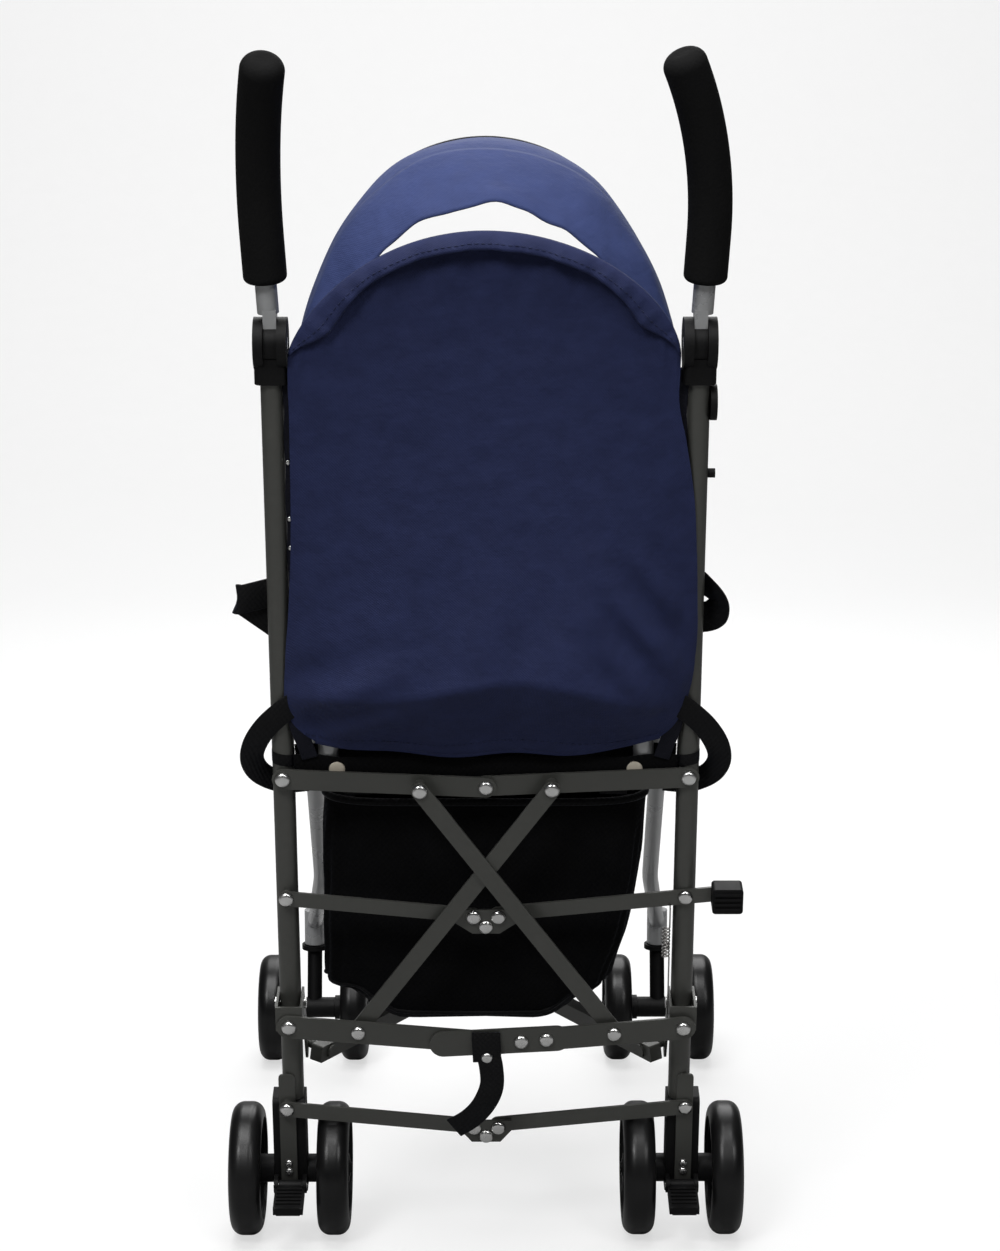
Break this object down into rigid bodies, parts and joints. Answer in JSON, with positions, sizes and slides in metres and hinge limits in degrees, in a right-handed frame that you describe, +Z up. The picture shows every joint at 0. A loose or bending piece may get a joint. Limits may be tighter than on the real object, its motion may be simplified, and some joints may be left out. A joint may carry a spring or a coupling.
{
  "type": "folding baby stroller",
  "caption": "Umbrella-fold baby stroller with a cloth seat, arched canopy, hanging basket, foam handles, crossed rear links and twin wheels.",
  "frame": {"origin": "on the floor, midway between the sides and midway between the back of the handles and the front of the front wheels", "axes": "+X to the right seen from behind, +Y forward, +Z up"},
  "size_m": [0.4946, 0.8047, 1.0759],
  "materials": {
    "frame": "satin dark warm grey paint",
    "zinc": "bright zinc",
    "black_plastic": "matte moulded",
    "grip_foam": "soft foam",
    "tyre": "smooth",
    "rim": "moulded",
    "navy_cloth": "woven",
    "black_cloth": "woven"
  },
  "bodies": {
    "left_leg": {"front_leg_left": "frame"},
    "left_frame": {"post_left": "frame", "handle_hub_left": "black_plastic", "brackets_left": "frame", "rear_housing_left": "black_plastic", "rivets_left": "zinc", "back_tube_left": "frame", "strap_loops_left": "black_cloth"},
    "left_handle": {"handle_tube_left": "frame", "handle_grip_left": "grip_foam"},
    "left_upper_link": {"upper_link_left": "frame"},
    "left_middle_link": {"middle_link_left": "frame"},
    "left_lower_link": {"lower_link_left": "frame"},
    "left_bottom_link": {"bottom_link_left": "frame"},
    "middle_plate": {"middle_plate": "frame"},
    "bottom_plate": {"bottom_plate": "frame"},
    "left_cross": {"cross_bar_left": "frame"},
    "left_floor": {"floor_arm_left": "frame"},
    "left_rail": {"seat_rail_left": "frame"},
    "left_rear_wheels": {"rear_wheels_left": "rim", "rear_tyres_left": "tyre"},
    "left_brake": {"brake_pedal_left": "black_plastic"},
    "left_caster": {"caster_fork_left": "frame"},
    "left_front_wheels": {"front_wheels_left": "rim", "front_tyres_left": "tyre"},
    "right_leg": {"front_leg_right": "frame"},
    "right_frame": {"post_right": "frame", "handle_hub_right": "black_plastic", "brackets_right": "frame", "rear_housing_right": "black_plastic", "rivets_right": "zinc", "back_tube_right": "frame", "strap_loops_right": "black_cloth", "accessory_mount": "black_plastic", "lock_spring": "zinc"},
    "right_handle": {"handle_tube_right": "frame", "handle_grip_right": "grip_foam"},
    "right_upper_link": {"upper_link_right": "frame"},
    "right_middle_link": {"middle_link_right": "frame", "fold_pedal": "black_plastic"},
    "right_lower_link": {"lower_link_right": "frame", "closure_strap": "black_cloth"},
    "right_bottom_link": {"bottom_link_right": "frame"},
    "right_cross": {"cross_bar_right": "frame"},
    "right_floor": {"floor_arm_right": "frame"},
    "right_rail": {"seat_rail_right": "frame"},
    "right_rear_wheels": {"rear_wheels_right": "rim", "rear_tyres_right": "tyre"},
    "right_brake": {"brake_pedal_right": "black_plastic"},
    "right_caster": {"caster_fork_right": "frame"},
    "right_front_wheels": {"front_wheels_right": "rim", "front_tyres_right": "tyre"},
    "sling": {"back_pad": "navy_cloth", "back_cover": "navy_cloth", "canopy_cloth": "navy_cloth", "seat_band": "black_cloth", "harness": "black_cloth", "basket": "black_cloth"},
    "seat": {"seat_pad": "navy_cloth"},
    "canopy": {"canopy_bow": "frame"}
  },
  "joints": [
    {"name": "left_frame_swing", "type": "hinge", "parent": "left_leg", "child": "left_frame", "pos_m": [-0.155, -0.24923, 0.57208], "axis": [1, 0, 0], "range_deg": [0, 32.05]},
    {"name": "left_handle_tilt", "type": "hinge", "parent": "left_frame", "child": "left_handle", "pos_m": [-0.176, -0.30568, 0.83765], "axis": [1, 0, 0], "range_deg": [0, 45]},
    {"name": "left_upper_link_turn", "type": "hinge", "parent": "left_frame", "child": "left_upper_link", "pos_m": [-0.176, -0.24457, 0.45397], "axis": [0, -0.9781, -0.2079], "range_deg": [0, 75.15]},
    {"name": "left_middle_link_turn", "type": "hinge", "parent": "left_frame", "child": "left_middle_link", "pos_m": [-0.176, -0.22035, 0.34002], "axis": [0, -0.9781, -0.2079], "range_deg": [0, 81.27]},
    {"name": "left_lower_link_turn", "type": "hinge", "parent": "left_frame", "child": "left_lower_link", "pos_m": [-0.176, -0.1952, 0.22166], "axis": [0, -0.9781, -0.2079], "range_deg": [0, 77.79]},
    {"name": "left_bottom_link_turn", "type": "hinge", "parent": "left_frame", "child": "left_bottom_link", "pos_m": [-0.181, -0.17576, 0.1302], "axis": [0, -0.9781, -0.2079], "range_deg": [0, 80.14]},
    {"name": "middle_plate_turn", "type": "hinge", "parent": "left_middle_link", "child": "middle_plate", "pos_m": [-0.011, -0.21682, 0.32339], "axis": [0, -0.9781, -0.2079], "range_deg": [-81.27, 0]},
    {"name": "bottom_plate_turn", "type": "hinge", "parent": "left_bottom_link", "child": "bottom_plate", "pos_m": [-0.011, -0.17201, 0.1126], "axis": [0, -0.9781, -0.2079], "range_deg": [-80.14, 0]},
    {"name": "left_cross_turn", "type": "hinge", "parent": "left_upper_link", "child": "left_cross", "pos_m": [-0.05712, -0.24345, 0.44868], "axis": [0, -0.9781, -0.2079], "range_deg": [-100.91, 0]},
    {"name": "left_floor_turn", "type": "hinge", "parent": "left_frame", "child": "left_floor", "pos_m": [-0.148, -0.1286, 0.172], "axis": [0.8564, -0.4944, -0.1489], "range_deg": [0, 98.96]},
    {"name": "left_rail_turn", "type": "hinge", "parent": "left_frame", "child": "left_rail", "pos_m": [-0.137, -0.21056, 0.49596], "axis": [1, 0, 0], "range_deg": [0, 75.05]},
    {"name": "left_rear_spin", "type": "hinge", "parent": "left_frame", "child": "left_rear_wheels", "pos_m": [-0.18, -0.1406, 0.061], "axis": [1, 0, 0], "continuous": true},
    {"name": "left_brake_press", "type": "hinge", "parent": "left_frame", "child": "left_brake", "pos_m": [-0.18, -0.15911, 0.05093], "axis": [1, 0, 0], "range_deg": [0, 25]},
    {"name": "left_caster_swivel", "type": "hinge", "parent": "left_leg", "child": "left_caster", "pos_m": [-0.187, 0.3644, 0.124], "axis": [0, 0, 1], "continuous": true},
    {"name": "left_front_spin", "type": "hinge", "parent": "left_caster", "child": "left_front_wheels", "pos_m": [-0.187, 0.3464, 0.057], "axis": [1, 0, 0], "continuous": true},
    {"name": "fold", "type": "slide", "parent": "left_leg", "child": "right_leg", "axis": [-1, 0, 0], "range_m": [0, 0.246], "deforming": ["seat_pad", "back_pad", "back_cover", "canopy_cloth", "seat_band", "harness", "basket", "strap_loops_left", "strap_loops_right", "closure_strap", "lock_spring", "canopy_bow"]},
    {"name": "right_frame_swing", "type": "hinge", "parent": "right_leg", "child": "right_frame", "pos_m": [0.155, -0.24923, 0.57208], "axis": [1, 0, 0], "range_deg": [0, 32.05]},
    {"name": "right_handle_tilt", "type": "hinge", "parent": "right_frame", "child": "right_handle", "pos_m": [0.176, -0.30568, 0.83765], "axis": [1, 0, 0], "range_deg": [0, 45]},
    {"name": "right_upper_link_turn", "type": "hinge", "parent": "right_frame", "child": "right_upper_link", "pos_m": [0.176, -0.24457, 0.45397], "axis": [0, 0.9781, 0.2079], "range_deg": [0, 75.15]},
    {"name": "right_middle_link_turn", "type": "hinge", "parent": "right_frame", "child": "right_middle_link", "pos_m": [0.176, -0.22035, 0.34002], "axis": [0, 0.9781, 0.2079], "range_deg": [0, 81.27]},
    {"name": "right_lower_link_turn", "type": "hinge", "parent": "right_frame", "child": "right_lower_link", "pos_m": [0.176, -0.1952, 0.22166], "axis": [0, 0.9781, 0.2079], "range_deg": [0, 77.79]},
    {"name": "right_bottom_link_turn", "type": "hinge", "parent": "right_frame", "child": "right_bottom_link", "pos_m": [0.181, -0.17576, 0.1302], "axis": [0, 0.9781, 0.2079], "range_deg": [0, 80.14]},
    {"name": "right_cross_turn", "type": "hinge", "parent": "right_upper_link", "child": "right_cross", "pos_m": [0.05712, -0.24345, 0.44868], "axis": [0, 0.9781, 0.2079], "range_deg": [-100.91, 0]},
    {"name": "right_floor_turn", "type": "hinge", "parent": "right_frame", "child": "right_floor", "pos_m": [0.148, -0.1286, 0.172], "axis": [0.8564, 0.4944, 0.1489], "range_deg": [0, 98.96]},
    {"name": "right_rail_turn", "type": "hinge", "parent": "right_frame", "child": "right_rail", "pos_m": [0.137, -0.21056, 0.49596], "axis": [1, 0, 0], "range_deg": [0, 75.05]},
    {"name": "right_rear_spin", "type": "hinge", "parent": "right_frame", "child": "right_rear_wheels", "pos_m": [0.18, -0.1406, 0.061], "axis": [1, 0, 0], "continuous": true},
    {"name": "right_brake_press", "type": "hinge", "parent": "right_frame", "child": "right_brake", "pos_m": [0.18, -0.15911, 0.05093], "axis": [1, 0, 0], "range_deg": [0, 25]},
    {"name": "right_caster_swivel", "type": "hinge", "parent": "right_leg", "child": "right_caster", "pos_m": [0.187, 0.3644, 0.124], "axis": [0, 0, 1], "continuous": true},
    {"name": "right_front_spin", "type": "hinge", "parent": "right_caster", "child": "right_front_wheels", "pos_m": [0.187, 0.3464, 0.057], "axis": [1, 0, 0], "continuous": true},
    {"name": "sling_shift", "type": "slide", "parent": "left_frame", "child": "sling", "axis": [-1, 0, 0], "range_m": [0, 0.123]},
    {"name": "seat_turn", "type": "hinge", "parent": "sling", "child": "seat", "pos_m": [0, -0.21056, 0.49596], "axis": [1, 0, 0], "range_deg": [0, 75.05]},
    {"name": "canopy_tilt", "type": "hinge", "parent": "sling", "child": "canopy", "pos_m": [0, -0.29549, 0.78972], "axis": [1, 0, 0], "range_deg": [0, 17], "deforming": ["canopy_cloth"]}
  ],
  "couplings": [
    {"joint": "left_frame_swing", "follows": "fold", "rad_per_m": 2.2703},
    {"joint": "left_upper_link_turn", "follows": "fold", "rad_per_m": 5.3279},
    {"joint": "left_middle_link_turn", "follows": "fold", "rad_per_m": 5.7621},
    {"joint": "left_lower_link_turn", "follows": "fold", "rad_per_m": 5.5157},
    {"joint": "left_bottom_link_turn", "follows": "fold", "rad_per_m": 5.682},
    {"joint": "middle_plate_turn", "follows": "fold", "rad_per_m": -5.7621},
    {"joint": "bottom_plate_turn", "follows": "fold", "rad_per_m": -5.682},
    {"joint": "left_cross_turn", "follows": "fold", "rad_per_m": -7.1556},
    {"joint": "left_floor_turn", "follows": "fold", "rad_per_m": 7.0174},
    {"joint": "left_rail_turn", "follows": "fold", "rad_per_m": 5.3211},
    {"joint": "right_frame_swing", "follows": "fold", "rad_per_m": 2.2703},
    {"joint": "right_upper_link_turn", "follows": "fold", "rad_per_m": 5.3279},
    {"joint": "right_middle_link_turn", "follows": "fold", "rad_per_m": 5.7621},
    {"joint": "right_lower_link_turn", "follows": "fold", "rad_per_m": 5.5157},
    {"joint": "right_bottom_link_turn", "follows": "fold", "rad_per_m": 5.682},
    {"joint": "right_cross_turn", "follows": "fold", "rad_per_m": -7.1556},
    {"joint": "right_floor_turn", "follows": "fold", "rad_per_m": 7.0174},
    {"joint": "right_rail_turn", "follows": "fold", "rad_per_m": 5.3211},
    {"joint": "sling_shift", "follows": "fold", "ratio": 0.5},
    {"joint": "seat_turn", "follows": "fold", "rad_per_m": 5.3211}
  ]
}
